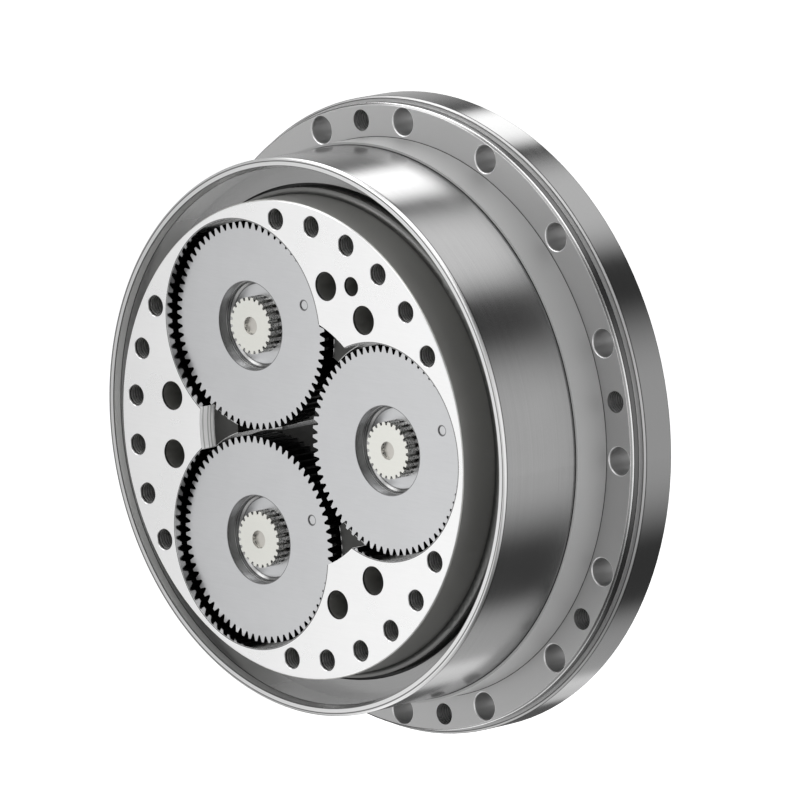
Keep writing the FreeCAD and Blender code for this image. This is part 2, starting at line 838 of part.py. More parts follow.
def crank_bearing_cups(end, face, outward):
    """The outer rings of the three crank bearings at one end."""
    for number in CRANKS:
        body = new_body(f"crank_bearing_cup_{end}_{number}")
        seat = S.crank_bearing_diameter / 2
        width = S.crank_bearing_width
        turn(
            body,
            f"crank_cup_{end}_{number}",
            [
                (seat, face),
                (seat, face + outward * width),
                (crank_race_radius(1, width), face + outward * width),
                (crank_race_radius(1, 0), face),
            ],
        )
        stand_at_crank(body, number)


def end_caps():
    for number in CRANKS:
        body = new_body(f"crank_end_cap_{number}")
        peg(
            body,
            f"cap_{number}",
            S.carrier_shaft_bore_diameter / 2,
            REAR_FACE - S.end_cap_recess - S.end_cap_thickness,
            S.end_cap_thickness,
        )
        stand_at_crank(body, number)


# Cranks


def crank_journal_end():
    return REAR_FACE - S.end_cap_recess - S.end_cap_thickness - S.stack_clearance


def crankshaft(number):
    body = new_body(f"crankshaft_{number}")
    journal = S.crank_journal_diameter / 2
    spline = S.spline_diameter / 2
    turn(
        body,
        f"journals_{number}",
        [
            (0, GEAR_FRONT),
            (spline, GEAR_FRONT),
            (spline, GEAR_REAR),
            (journal, GEAR_REAR),
            (journal, crank_journal_end()),
            (0, crank_journal_end()),
        ],
    )
    eccentric = S.crank_eccentric_diameter / 2
    peg(body, f"front_eccentric_{number}", eccentric, STACK_FRONT, S.disc_thickness, S.eccentricity, 0)
    rear_start = STACK_REAR - S.disc_thickness
    peg(body, f"rear_eccentric_{number}", eccentric, rear_start, S.disc_thickness, S.eccentricity, TURN / 2)
    root = spline - S.spline_depth
    pitch = TURN / S.spline_teeth
    root_half = root * sine(pitch / 7)
    tip_half = (spline + S.edge_break) * sine(pitch / 3.4)
    gap = cut_along(
        body,
        f"spline_gap_{number}",
        [
            (root, -root_half),
            (spline + S.edge_break, -tip_half),
            (spline + S.edge_break, tip_half),
            (root, root_half),
        ],
        GEAR_FRONT,
        S.gear_thickness,
    )
    repeat(body, gap, S.spline_teeth)
    centre_hole = S.crank_centre_hole_diameter / 2
    drill(body, f"centre_hole_{number}", centre_hole, GEAR_FRONT, S.crank_centre_hole_depth)
    stand_at_crank(body, number)


def gear_phase(number):
    """Turn of a gear about its own axis that brings a tooth space onto the input pinion's teeth."""
    facing = crank_direction(number).number + TURN / 2
    pinion_shift = (number - 1) * TURN / 3 * S.pinion_teeth.number / S.gear_teeth.number
    return facing - pinion_shift


def spur_gear(number):
    body = new_body(f"spur_gear_{number}")
    tip = GEAR_TIP_RADIUS
    wall = S.gear_counterbore_diameter / 2
    floor = S.gear_floor_diameter / 2
    bore = S.spline_diameter / 2
    turn(
        body,
        f"blank_{number}",
        [
            (bore, GEAR_FRONT + S.gear_floor_depth),
            (floor, GEAR_FRONT + S.gear_floor_depth),
            (wall - S.gear_ledge_width, GEAR_FRONT + S.gear_wall_depth),
            (wall - S.gear_ledge_width, GEAR_FRONT + S.gear_counterbore_depth),
            (wall, GEAR_FRONT + S.gear_counterbore_depth),
            (wall, GEAR_FRONT),
            (tip, GEAR_FRONT),
            (tip, GEAR_REAR),
            (bore, GEAR_REAR),
        ],
    )
    module = GEAR_MODULE
    pitch_radius = module * S.gear_teeth / 2
    root = pitch_radius - 1.25 * module
    half_gap = module * (math.pi / 4)
    lean = tangent(S.pressure_angle)
    outside = tip + S.edge_break
    root_half = half_gap - 1.25 * module * lean
    outside_half = half_gap + (outside - pitch_radius) * lean
    gap = cut_along(
        body,
        f"tooth_space_{number}",
        [(root, -root_half), (outside, -outside_half), (outside, outside_half), (root, root_half)],
        GEAR_FRONT,
        S.gear_thickness,
    )
    repeat(body, gap, S.gear_teeth)
    phase = gear_phase(number)
    drill(
        body,
        f"timing_mark_{number}",
        S.timing_mark_diameter / 2,
        GEAR_FRONT,
        S.timing_mark_depth,
        S.timing_mark_circle / 2,
        S.timing_mark_angle - phase,
    )
    stand_at_crank(body, number, phase)


def crank_bearing_cones(number):
    body = new_body(f"crank_bearing_cones_{number}")
    journal = S.crank_journal_diameter / 2
    width = S.crank_bearing_width
    rib = S.bearing_rib
    for end, face, outward in crank_bearing_ends():
        rib_radius = crank_pitch_radius() - S.crank_roller_diameter / 4

        def level(depth):
            return face + outward * as_size(depth)

        turn(
            body,
            f"crank_cone_{end}_{number}",
            [
                (journal, level(0)),
                (crank_race_radius(-1, 0), level(0)),
                (crank_race_radius(-1, width - rib), level(width - rib)),
                (rib_radius, level(width - rib)),
                (rib_radius, level(width)),
                (journal, level(width)),
            ],
        )
    stand_at_crank(body, number)


def crank_bearing_rollers(number):
    body = new_body(f"crank_bearing_rollers_{number}")
    tilt = S.crank_bearing_tilt
    half = S.crank_roller_length / 2
    width = S.crank_bearing_width
    for end, face, outward in crank_bearing_ends():
        roller = body.newObject("PartDesign::AdditiveCylinder", f"crank_roller_{end}_{number}")
        roller.setExpression("Radius", (S.crank_roller_diameter / 2).formula)
        roller.setExpression("Height", S.crank_roller_length.formula)
        direction = Vector(sine(tilt).number, outward * cosine(tilt).number, 0)
        roller.Placement = FreeCAD.Placement(Vector(0, 0, 0), FreeCAD.Rotation(Vector(0, 0, 1), direction))
        start_radius = crank_pitch_radius() - half * sine(tilt)
        start_level = face + outward * (width / 2 - half * cosine(tilt))
        roller.setExpression("Placement.Base.x", start_radius.formula)
        roller.setExpression("Placement.Base.y", start_level.formula)
        repeat(body, roller, S.crank_roller_count)
    stand_at_crank(body, number)


def eccentric_rollers(number):
    """The two rows of rollers between a crank's eccentrics and the discs."""
    radius = S.eccentric_roller_diameter.number / 2
    ring = S.crank_eccentric_diameter.number / 2 + radius
    gap = (S.disc_thickness.number - S.eccentric_roller_length.number) / 2
    count = S.count("eccentric_roller_count")
    solids = []
    rows = ((STACK_FRONT.number, 1), (STACK_REAR.number - S.disc_thickness.number, -1))
    for start, side in rows:
        for index in range(count):
            angle = 2 * math.pi * index / count
            foot = Vector(
                side * S.eccentricity.number + ring * math.cos(angle), start + gap, ring * math.sin(angle)
            )
            solids.append(Part.makeCylinder(radius, S.eccentric_roller_length.number, foot, AXIS_Y))
    feature = plain_part(f"eccentric_rollers_{number}", Part.makeCompound(solids))
    direction = crank_direction(number)
    across = (CRANK_CIRCLE_RADIUS * cosine(direction)).number
    up = (CRANK_CIRCLE_RADIUS * sine(direction)).number
    feature.Placement = FreeCAD.Placement(Vector(across, 0, up), FreeCAD.Rotation())


# Cycloidal discs


def lobed_outline(side):
    """Wire of the disc's lobes: the path of a ring pin's centre, moved inwards by the pin's radius."""
    ring = PIN_CIRCLE_RADIUS.number
    count = S.count("pin_count")
    throw = side * S.eccentricity.number
    inset = PIN_RADIUS.number + S.lobe_clearance.number
    lobes = count - 1
    arcs = 6
    crowding = 0.6
    start = 0.0 if side < 0 else math.pi / lobes

    def point(place):
        """A point of the outline; a whole number of places is a whole number of lobes."""
        share = place + crowding * math.sin(2 * math.pi * place) / (2 * math.pi)
        turned = start + 2 * math.pi * share / lobes
        along = Vector(
            -ring * math.sin(turned) + count * throw * math.sin(count * turned),
            0,
            ring * math.cos(turned) - count * throw * math.cos(count * turned),
        )
        inwards = Vector(-along.z, 0, along.x).normalize()
        centre = Vector(
            ring * math.cos(turned) - throw * math.cos(count * turned),
            0,
            ring * math.sin(turned) - throw * math.sin(count * turned),
        )
        return centre + inwards * inset

    edges = []
    for index in range(lobes * arcs):
        places = (index / arcs, (index + 0.5) / arcs, (index + 1) / arcs)
        edges.append(Part.Arc(*(point(place) for place in places)).toShape())
    return Part.Wire(edges)


def cycloid_disc(end, start, side):
    """One cycloidal disc, set off the axis by the eccentricity towards its side."""
    thickness = Vector(0, S.disc_thickness.number, 0)
    disc = Part.Face(lobed_outline(side)).extrude(thickness)
    reach = S.disc_thickness.number
    cuts = [Part.makeCylinder(S.disc_bore_diameter.number / 2, reach, Vector(0, 0, 0), AXIS_Y)]
    for number in CRANKS:
        direction = crank_direction(number)
        across = (CRANK_CIRCLE_RADIUS * cosine(direction)).number
        up = (CRANK_CIRCLE_RADIUS * sine(direction)).number
        cuts.append(Part.makeCylinder(DISC_HOLE_RADIUS.number, reach, Vector(across, 0, up), AXIS_Y))
        window = sector_outline(
            S.column_inner_radius.number,
            S.column_outer_radius.number,
            S.column_half_angle.number,
            column_direction(number).number,
            S.eccentricity.number + S.window_clearance.number,
        ).extrude(thickness)
        rounding = (S.column_fillet + S.eccentricity + S.window_clearance).number
        upright = [edge for edge in window.Edges if abs(edge.tangentAt(edge.FirstParameter).y) > 0.99]
        cuts.append(window.makeFillet(rounding, upright))
    disc = disc.cut(cuts)
    feature = plain_part(f"cycloid_disc_{end}", disc)
    centre = Vector(side * S.eccentricity.number, start.number, 0)
    feature.Placement = FreeCAD.Placement(centre, FreeCAD.Rotation())


def build():
    case()
    ring_pins()
    main_bearing("front", INNER_FRONT, -1)
    main_bearing("rear", INNER_REAR, 1)
    seals()
    carrier()
    rear_plate()
    tie_bolts()
    locating_pin()
    for end, face, outward in crank_bearing_ends():
        crank_bearing_cups(end, face, outward)
    end_caps()
    for number in CRANKS:
        crankshaft(number)
        spur_gear(number)
        crank_bearing_cones(number)
        crank_bearing_rollers(number)
        eccentric_rollers(number)
    cycloid_disc("front", STACK_FRONT, 1)
    cycloid_disc("rear", STACK_REAR - S.disc_thickness, -1)
    DOCUMENT.recompute()


def check():
    for item in DOCUMENT.Objects:
        if any(word in item.State for word in ("Invalid", "Error")):
            raise RuntimeError(f"{item.Label} failed: {item.State}")
    for item in SUB_PARTS:
        if item.Shape.isNull() or not item.Shape.isValid() or not item.Shape.Solids:
            raise RuntimeError(f"{item.Label} has no valid solid")


def export():
    os.makedirs("parts", exist_ok=True)
    for item in SUB_PARTS:
        item.Shape.exportStep(f"parts/{item.Label}.step")
        print(item.Label, len(item.Shape.Solids), round(item.Shape.Volume))


build()
check()
export()
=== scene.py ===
import json
import math

import bpy
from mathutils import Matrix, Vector


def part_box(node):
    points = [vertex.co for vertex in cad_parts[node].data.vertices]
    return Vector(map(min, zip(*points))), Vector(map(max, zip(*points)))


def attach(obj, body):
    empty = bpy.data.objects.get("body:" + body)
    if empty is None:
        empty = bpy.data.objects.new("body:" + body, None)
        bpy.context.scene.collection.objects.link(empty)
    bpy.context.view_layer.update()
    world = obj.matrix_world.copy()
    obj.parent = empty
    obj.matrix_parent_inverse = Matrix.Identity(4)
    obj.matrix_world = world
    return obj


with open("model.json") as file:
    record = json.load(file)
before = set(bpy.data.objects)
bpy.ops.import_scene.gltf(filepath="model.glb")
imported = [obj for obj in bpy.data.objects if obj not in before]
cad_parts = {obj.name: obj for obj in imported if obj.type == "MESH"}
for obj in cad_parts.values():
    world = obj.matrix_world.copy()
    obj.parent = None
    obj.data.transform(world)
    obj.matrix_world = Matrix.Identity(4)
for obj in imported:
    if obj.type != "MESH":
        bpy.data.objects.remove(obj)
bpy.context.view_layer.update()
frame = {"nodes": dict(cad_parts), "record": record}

MM = 0.001

# Camera: azimuth from -Y towards +X, elevation above the floor's plane
CAMERA_AZIMUTH = math.radians(44.90)
CAMERA_ELEVATION = math.radians(11.594)
CAMERA_PLACE = Vector((4.0364, -4.0525, 1.1825))
CAMERA_LENS = 522.02
SENSOR = 36.0

# Cranks and gears
CRANKS = range(3)
GEAR_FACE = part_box("spur_gear_1")[0].y
CRANK_CIRCLE = 62.78 * MM
CRANK_ANGLE = 2.9
COUNTERBORE_RADIUS = 22.7 * MM
GEAR_FLOOR_DEPTH = 8.0 * MM
MARK_CIRCLE = 41.0 * MM
MARK_ANGLE = 22.5
MARK_RADIUS = 2.5 * MM
TOOTH_ROOT = 49.0 * MM
CENTRE_HOLE_RADIUS = 4.55 * MM
CENTRE_HOLE_DEPTH = 2.0 * MM
CENTRE_FLOOR_THICKNESS = 1.0 * MM

# Carrier; depths are counted from its face
CARRIER_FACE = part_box("carrier")[0].y
CARRIER_SIDE = 119.5 * MM
CARRIER_BODY = 60.0 * MM
LAND_DEPTH = 21.8 * MM
POCKET_RADIUS = 54.8 * MM
LEDGE_RADIUS = 65.2 * MM
LEDGE_DEPTH = 10.4 * MM
OUTPUT_CIRCLE = 111.3 * MM
OUTPUT_PITCH = 13.0
OUTPUT_GROUP = 6

# Case; the jacking holes' places are counted from the top in half pitches
RIM_FACE = -70.5 * MM
RIM_OPENING = 136.9 * MM
RIM_ROUNDING = 1.6 * MM
CASE_RADIUS = 141.0 * MM
BORE_RADIUS = 135.6 * MM
BORE_START = RIM_FACE + 3.9 * MM
PILOT_RADIUS = 142.5 * MM
PILOT_START = -20.4 * MM
STEP_RADIUS = 159.8 * MM
STEP_LENGTH = 6.5 * MM
STEP_LINES = (1.8 * MM, 4.8 * MM)
FLANGE_RADIUS = 162.5 * MM
FLANGE_BACK = 26.4 * MM
EDGE_CHAMFER = 1.2 * MM
FLANGE_CIRCLE = 151.2 * MM
FLANGE_PITCH = 22.5
FLANGE_HOLE = 7.0 * MM
JACKING_HOLE = 5.5 * MM
JACKING_STEPS = (1, -15, -7, 9, -11, 5)

# Threads: radius and number of turns in each kind of tapped hole, and the depth where they start
THREAD_PITCH = 1.75 * MM
THREAD_RIDGE = 0.28 * MM
OUTPUT_THREAD = (5.05 * MM, 12.0)
OUTPUT_THREAD_START = 1.2 * MM
JACKING_THREAD = (5.45 * MM, 13.0)
JACKING_THREAD_START = 1.0 * MM

# Circles about the axis, as radius and Y, where an edge of the case holds a thin dark line of painted shade
CASE_SHADE_LINES = [
    (CASE_RADIUS, RIM_FACE + RIM_ROUNDING),
    (CASE_RADIUS - RIM_ROUNDING, RIM_FACE),
    (RIM_OPENING, RIM_FACE),
    (BORE_RADIUS, BORE_START),
    (CASE_RADIUS, PILOT_START),
    (PILOT_RADIUS, 0.0),
    (STEP_RADIUS, STEP_LINES[0]),
    (STEP_RADIUS, STEP_LINES[1]),
    (FLANGE_RADIUS - EDGE_CHAMFER, STEP_LENGTH),
    (FLANGE_RADIUS, STEP_LENGTH + EDGE_CHAMFER),
    (FLANGE_RADIUS, FLANGE_BACK - EDGE_CHAMFER),
]

# Thin dark lines painted on the ledge's wall, as radius and depth below the carrier's face
LEDGE_EDGES = [(65 * MM, depth * MM) for depth in (2.2, 5.6, 7.6, 10.0)]

# Thin dark lines of painted shade on the gears' edges, as distance from the crank's axis and depth below the
# gear's face
GEAR_SHADE_LINES = [(22.5 * MM, 0.0), (21.9 * MM, 5.2 * MM), (21.9 * MM, 7.0 * MM), (20.5 * MM, 8.2 * MM)]

# Corners of a flat plate, in half sides from its middle
SQUARE = ((-1, -1), (1, -1), (1, 1), (-1, 1))

# Floor: its height, half its side and its own glow
FLOOR_LEVEL = -0.36
FLOOR_REACH = 30.0
FLOOR_GLOW = 0.6

# World: level of the light that surfaces scatter, and of what they mirror from low to high
SCATTER_LEVEL = 0.6
MIRROR_LOW = 0.4
MIRROR_MIDDLE = 0.85
MIRROR_HIGH = 1.2

# Sleeve that the turned surfaces mirror, with soft strips along the axis: turn about the axis from +X
# towards +Z, half width in degrees and strength
SLEEVE_RADIUS = 1.6
SLEEVE_REACH = 5.0
SLEEVE_SIDES = 96
SLEEVE_SHADE = 0.12
STRIPS = [
    (123, 17, 3.3),
    (80, 27, 1.65),
    (-2, 45, 1.05),
    (-92, 26, 0.75),
    (-115, 13, 1.05),
    (-160, 11, 0.45),
    (171, 34, 0.45),
]

# Card that the flat faces mirror: its middle, its direction to the right, half its side, half the stretch
# of it that the faces see, and its strength at the left and right of that stretch
CARD_MIDDLE = Vector((-0.691, -0.694, -0.201)) * 0.6
CARD_ACROSS = Vector((0.709, -0.706, 0.0))
CARD_HALF = 0.6
CARD_STRETCH = 0.11
CARD_LEFT = 0.58
CARD_RIGHT = 1.06

# Key lamp
KEY_PLACE = (1.2, -1.6, 2.4)
KEY_SIZE = 1.5
KEY_POWER = 40


class Socket:
    """A number that a node gives, for use in plain Python sums."""

    def __init__(self, nodes, socket):
        self.nodes = nodes
        self.socket = socket

    def sum(self, operation, first, second):
        return self.nodes.node("ShaderNodeMath", {"operation": operation}, [first, second])

    def __add__(self, other):
        return self.sum("ADD", self, other)

    def __radd__(self, other):
        return self.sum("ADD", other, self)

    def __sub__(self, other):
        return self.sum("SUBTRACT", self, other)

    def __rsub__(self, other):
        return self.sum("SUBTRACT", other, self)

    def __mul__(self, other):
        return self.sum("MULTIPLY", self, other)

    def __rmul__(self, other):
        return self.sum("MULTIPLY", other, self)

    def __truediv__(self, other):
        return self.sum("DIVIDE", self, other)


class Nodes:
    """Builds a node tree from Python calls."""

    def __init__(self, tree):
        self.tree = tree

    def put(self, socket, value):
        if isinstance(value, Socket):
            self.tree.links.new(value.socket, socket)
        else:
            socket.default_value = value

    def node(self, kind, settings=None, inputs=None, output=0):
        """Adds a node: its settings first, then its sockets by place or by name."""
        made = self.tree.nodes.new(kind)
        for name, value in (settings or {}).items():
            setattr(made, name, value)
        pairs = inputs.items() if isinstance(inputs, dict) else enumerate(inputs or [])
        for name, value in pairs:
            self.put(made.inputs[name], value)
        return Socket(self, made.outputs[output]) if made.outputs else None


class Shader(Nodes):
    """The node tree of a material or of the world."""

    def __init__(self, owner):
        owner.use_nodes = True
        super().__init__(owner.node_tree)
        self.owner = owner
        self.tree.nodes.clear()

    def place(self, kind="Object"):
        """The point's place on the object, and its X, Y and Z."""
        point = self.node("ShaderNodeTexCoord", output=kind)
        return point, [self.node("ShaderNodeSeparateXYZ", {}, [point], output=axis) for axis in range(3)]

    def solve(self, operation, *values):
        return self.node("ShaderNodeMath", {"operation": operation}, values)

    def length(self, first, second):
        return self.solve("SQRT", first * first + second * second)

    def vector(self, x, y, z):
        return self.node("ShaderNodeCombineXYZ", {}, [x, y, z])

    def noise(self, vector, scale, detail=2.0, roughness=0.5):
        inputs = {"Vector": vector, "Scale": scale, "Detail": detail, "Roughness": roughness}
        return self.node("ShaderNodeTexNoise", {}, inputs, output="Fac")

    def step(self, value, low, high):
        """0 below low and 1 above high, smooth between."""
        inputs = {"Value": value, "From Min": low, "From Max": high}
        return self.node("ShaderNodeMapRange", {"interpolation_type": "SMOOTHSTEP"}, inputs)

    def inside(self, value, low, high, soft=0.05 * MM):
        """1 between the two limits."""
        return self.step(value, low - soft, low) * (1 - self.step(value, high, high + soft))

    def least(self, values):
        least = values[0]
        for value in values[1:]:
            least = self.solve("MINIMUM", least, value)
        return least

    def crank_distance(self, x, z, circle=0.0, angle=0.0):
        """Distance from the nearest crank's axis, or from the same point beside each of them."""
        found = []
        for number in CRANKS:
            middle = crank_point(number, circle, angle)
            found.append(self.length(x - middle[0], z - middle[1]))
        return self.least(found)

    def near_circles(self, radius, y, circles, width):
        """1 within the width of the nearest of the circles, given as radius and Y."""
        found = [self.length(radius - ring, y - level) for ring, level in circles]
        return 1 - self.step(self.least(found), 0.5 * width, width)

    def hole_distance(self, x, z, circle, pitch, first):
        """Distance from the nearest of evenly spaced axes on a circle; pitch and first in degrees."""
        half = math.radians(pitch) / 2
        turn = self.solve("WRAP", self.solve("ARCTAN2", z, x) - math.radians(first), half, -half)
        radius = self.length(x, z)
        along = radius * self.solve("COSINE", turn) - circle
        across = radius * self.solve("SINE", turn)
        return self.length(along, across)

    def between(self, share, first, second):
        """A mix of two colours."""
        mixed = self.node("ShaderNodeMix", {"data_type": "RGBA"}, {"Factor": share}, output=2)
        # The two colours are the node's inputs 6 and 7
        for socket, value in zip(mixed.socket.node.inputs[6:8], (first, second)):
            self.put(socket, value if isinstance(value, Socket) else (*value, 1))
        return mixed

    def bump(self, height, strength, distance):
        return self.node("ShaderNodeBump", {}, {"Height": height, "Strength": strength, "Distance": distance})

    def surface(self, **sockets):
        """The material's one shader."""
        values = {name.replace("_", " "): value for name, value in sockets.items()}
        shader = self.node("ShaderNodeBsdfPrincipled", {}, values)
        self.node("ShaderNodeOutputMaterial", {}, {"Surface": shader})
        return self.owner

    def glow(self, level):
        """Makes the surface a plain light of the given level."""
        shining = self.node("ShaderNodeEmission", {}, {"Color": level, "Strength": 1.0})
        self.node("ShaderNodeOutputMaterial", {}, {"Surface": shining})
        return self.owner


def crank_point(number, distance=0.0, angle=0.0):
    """X and Z of a crank's axis, or of a point at a distance and angle from it."""
    turn = math.radians(CRANK_ANGLE + 120 * number)
    beside = math.radians(angle)
    return (
        CRANK_CIRCLE * math.cos(turn) + distance * math.cos(beside),
        CRANK_CIRCLE * math.sin(turn) + distance * math.sin(beside),
    )


def grey(level, warmth=0.0):
    return (level, level, level * (1 - warmth))


def darker(colour, share):
    return tuple(channel * (1 - share) for channel in colour)


def new_shader(name):
    """A new material's tree, with the point's place and its X, Y and Z."""
    made = Shader(bpy.data.materials.new(name))
    point, axes = made.place()
    return made, point, axes


def turned(made, point, radius, y, dark, light):
    """Tone, height and unevenness of steel turned about the reducer's axis, with fine lathe lines."""
    fine = made.noise(made.vector(radius * 1400, y * 1400, 0.0), 1.0, 3.0)
    broad = made.noise(made.vector(radius * 260, y * 260, 0.0), 1.0, 2.0)
    cloud = made.noise(point, 28.0, 4.0, 0.6)
    tone = made.between(made.step(fine * 0.5 + cloud * 0.5, 0.3, 0.7), dark, light)
    return tone, fine + broad * 0.6, (cloud - 0.5) * 0.06 + (broad - 0.5) * 0.05


def ground(made, point, axes, colour, wear):
    """Tone, grain and cloudiness of flat-ground steel."""
    x, y, z = axes
    grain = made.noise(made.vector(x * 90, y * 900, z * 1500), 1.0, 3.0)
    cloud = made.noise(point, 40.0, 4.0, 0.6)
    tone = made.between(made.step(grain * 0.4 + cloud * 0.6, 0.3, 0.7), darker(colour, wear), colour)
    return tone, grain, cloud


def seal_steel(name):
    """Turned steel of the seals' shells."""
    made, point, (x, y, z) = new_shader(name)
    tone, height, uneven = turned(made, point, made.length(x, z), y, grey(0.306), grey(0.34))
    return made.surface(
        Base_Color=tone,
        Metallic=1.0,
        Roughness=0.24 + uneven,
        Normal=made.bump(height, 0.1, 0.00002),
    )


def case_steel(name):
    """Turned case with its zones' tones painted for light and shade: a painted lighter bore, rim, faces,
    shoulders and hole walls, painted highlights on the step and at the bolt holes' mouths, painted shade on
    the step's groove and the tread, a duller pilot, and thin dark lines of painted shade on its edges.
    """
    made, point, (x, y, z) = new_shader(name)
    radius = made.length(x, z)
    tone, height, uneven = turned(made, point, radius, y, grey(0.275), grey(0.30))
    front = 1 - made.step(y, RIM_FACE + 1.5 * MM, RIM_FACE + 1.7 * MM)
    rim = front * made.step(radius, RIM_OPENING - 0.2 * MM, RIM_OPENING - 0.1 * MM)
    well = (1 - made.step(radius, RIM_OPENING - 0.15 * MM, RIM_OPENING)) * (1 - rim)
    on_pilot = made.inside(radius, CASE_RADIUS + 0.2 * MM, PILOT_RADIUS + 0.2 * MM)
    pilot = on_pilot * made.inside(y, PILOT_START, 0.0)
    face = made.inside(y, -0.2 * MM, 0.2 * MM) * made.inside(radius, PILOT_RADIUS, STEP_RADIUS + 0.2 * MM)
    band = made.inside(radius, STEP_RADIUS - 0.3 * MM, STEP_RADIUS + 0.1 * MM)
    highlight_band = band * made.inside(y, 0.1 * MM, STEP_LINES[0] - 0.2 * MM)
    shade_band = band * made.inside(y, STEP_LINES[0] - 0.1 * MM, STEP_LINES[1] - 0.3 * MM)
    tread = made.step(radius, FLANGE_RADIUS - 0.15 * MM, FLANGE_RADIUS - 0.05 * MM)
    beyond_step = made.step(radius, STEP_RADIUS - 0.3 * MM, STEP_RADIUS - 0.2 * MM)
    flange_shoulder = beyond_step * made.inside(y, STEP_LINES[1] + 0.3 * MM, STEP_LENGTH + EDGE_CHAMFER)
    around_pilot = made.inside(radius, CASE_RADIUS + 0.1 * MM, PILOT_RADIUS)
    pilot_shoulder = around_pilot * made.inside(y, PILOT_START - 0.1 * MM, PILOT_START + 0.1 * MM)
    shoulder = flange_shoulder + pilot_shoulder
    bolt = made.hole_distance(x, z, FLANGE_CIRCLE, FLANGE_PITCH, 90) - FLANGE_HOLE
    jack = made.hole_distance(x, z, FLANGE_CIRCLE, FLANGE_PITCH, 90 + FLANGE_PITCH / 2) - JACKING_HOLE
    near_hole = 1 - made.step(made.least([bolt, jack]), 0.15 * MM, 0.25 * MM)
    hole = near_hole * made.inside(y, 0.3 * MM, FLANGE_BACK - 0.3 * MM)
    mouth = made.inside(bolt, 0.1 * MM, 0.6 * MM) * made.inside(y, -0.2 * MM, 0.6 * MM)
    # Tones of the zones, painted for light and shade: lighter bore, rim, pilot, faces, shoulders and hole
    # walls, a painted highlight band and bolt-hole mouths, a painted shade band and a darker tread
    zones = [
        (well, 0.88),
        (rim, 0.72),
        (pilot, 0.42),
        (face, 0.52),
        (highlight_band, 0.75),
        (shade_band, 0.12),
        (shoulder, 0.50),
        (tread, 0.23),
        (mouth, 0.85),
        (hole, 0.50),
    ]
    for zone, level in zones:
        tone = made.between(zone, tone, grey(level))
    # Thin dark lines of painted shade along the case's edges
    line = made.near_circles(radius, y, CASE_SHADE_LINES, 0.42 * MM)
    tone = made.between(line * 0.8, tone, grey(0.03))
    rough = 0.17 + made.step(y, PILOT_START - 30 * MM, PILOT_START) * 0.08
    rough = rough + pilot * 0.34 + face * 0.26 + shoulder * 0.2 + rim * 0.12 + hole * 0.25
    rough = rough - tread * 0.13 - well * 0.08
    return made.surface(
        Base_Color=tone,
        Metallic=1 - pilot * 0.45 - well * 0.3,
        Roughness=rough + uneven,
        Normal=made.bump(height, 0.08, 0.00002),
    )


def carrier_steel(name):
    """Ground face, a duller turned side and polished pocket walls, with tones below the face painted for
    light and shade: dark painted shade on the floors, the hole mouths and the land, a thin painted shade line
    on the face at the pockets' edge, and hole walls darker than the face, with side, pocket walls and ledge
    wall painted lighter than the floors.
    """
    made, point, axes = new_shader(name)
    x, y, z = axes
    tone, grain, cloud = ground(made, point, axes, grey(0.93), 0.03)
    radius = made.length(x, z)
    depth = y - CARRIER_FACE
    crank = made.crank_distance(x, z)
    below = made.inside(depth, 0.2 * MM, CARRIER_BODY, 0.1 * MM)
    holes = made.step(radius, LEDGE_RADIUS + 1 * MM, LEDGE_RADIUS + 2 * MM)
    mouth = holes * (1 - made.step(depth, 1.2 * MM, 1.4 * MM))
    pocket = made.inside(crank, POCKET_RADIUS - 1.5 * MM, POCKET_RADIUS + 0.2 * MM)
    pocket_edge_shade = made.inside(crank, POCKET_RADIUS - 0.1 * MM, POCKET_RADIUS + 0.45 * MM) * (1 - below)
    ledge = made.inside(radius, LEDGE_RADIUS - 0.3 * MM, LEDGE_RADIUS + 0.1 * MM)
    ledge = ledge * (1 - made.step(depth, LEDGE_DEPTH, LEDGE_DEPTH + 0.1 * MM))
    ledge_line = ledge * made.near_circles(radius, depth, LEDGE_EDGES, 0.5 * MM)
    side = made.step(radius, CARRIER_SIDE, CARRIER_SIDE + 0.5 * MM)
    land = side * made.step(depth, LAND_DEPTH, LAND_DEPTH + 0.8 * MM)
    columns = made.step(depth, CARRIER_BODY, CARRIER_BODY + 1 * MM)
    # Tones below the face, painted for light and shade: lighter hole walls, pocket walls, ledge wall and
    # side, and dark painted shade at the hole mouths, on the land and in thin lines on the ledge's wall
    zones = [
        (holes, grey(0.62, 0.03)),
        (mouth, grey(0.16)),
        (pocket, grey(0.45)),
        (ledge, grey(0.90)),
        (ledge_line * 0.6, grey(0.16, 0.05)),
        (side, grey(0.46, 0.03)),
        (land, grey(0.20, 0.02)),
    ]
    # Floors and recesses get dark painted shade
    inner = made.between(cloud, grey(0.04), grey(0.10, 0.04))
    for zone, colour in zones:
        inner = made.between(zone, inner, colour)
    # Thin line of painted shade on the face at the pockets' edge
    tone = made.between(pocket_edge_shade * 0.8, tone, grey(0.05))
    tone = made.between(below, tone, inner)
    tone = made.between(columns, tone, grey(0.60))
    rough = 0.28 + below * (side * 0.14 - pocket * 0.16 + (1 - side) * (1 - pocket) * 0.14)
    return made.surface(
        Base_Color=tone,
        Metallic=1 - ledge * below * 0.8,
        Roughness=rough + (cloud - 0.5) * 0.06,
        Normal=made.bump(grain, 0.10, 0.00001),
    )


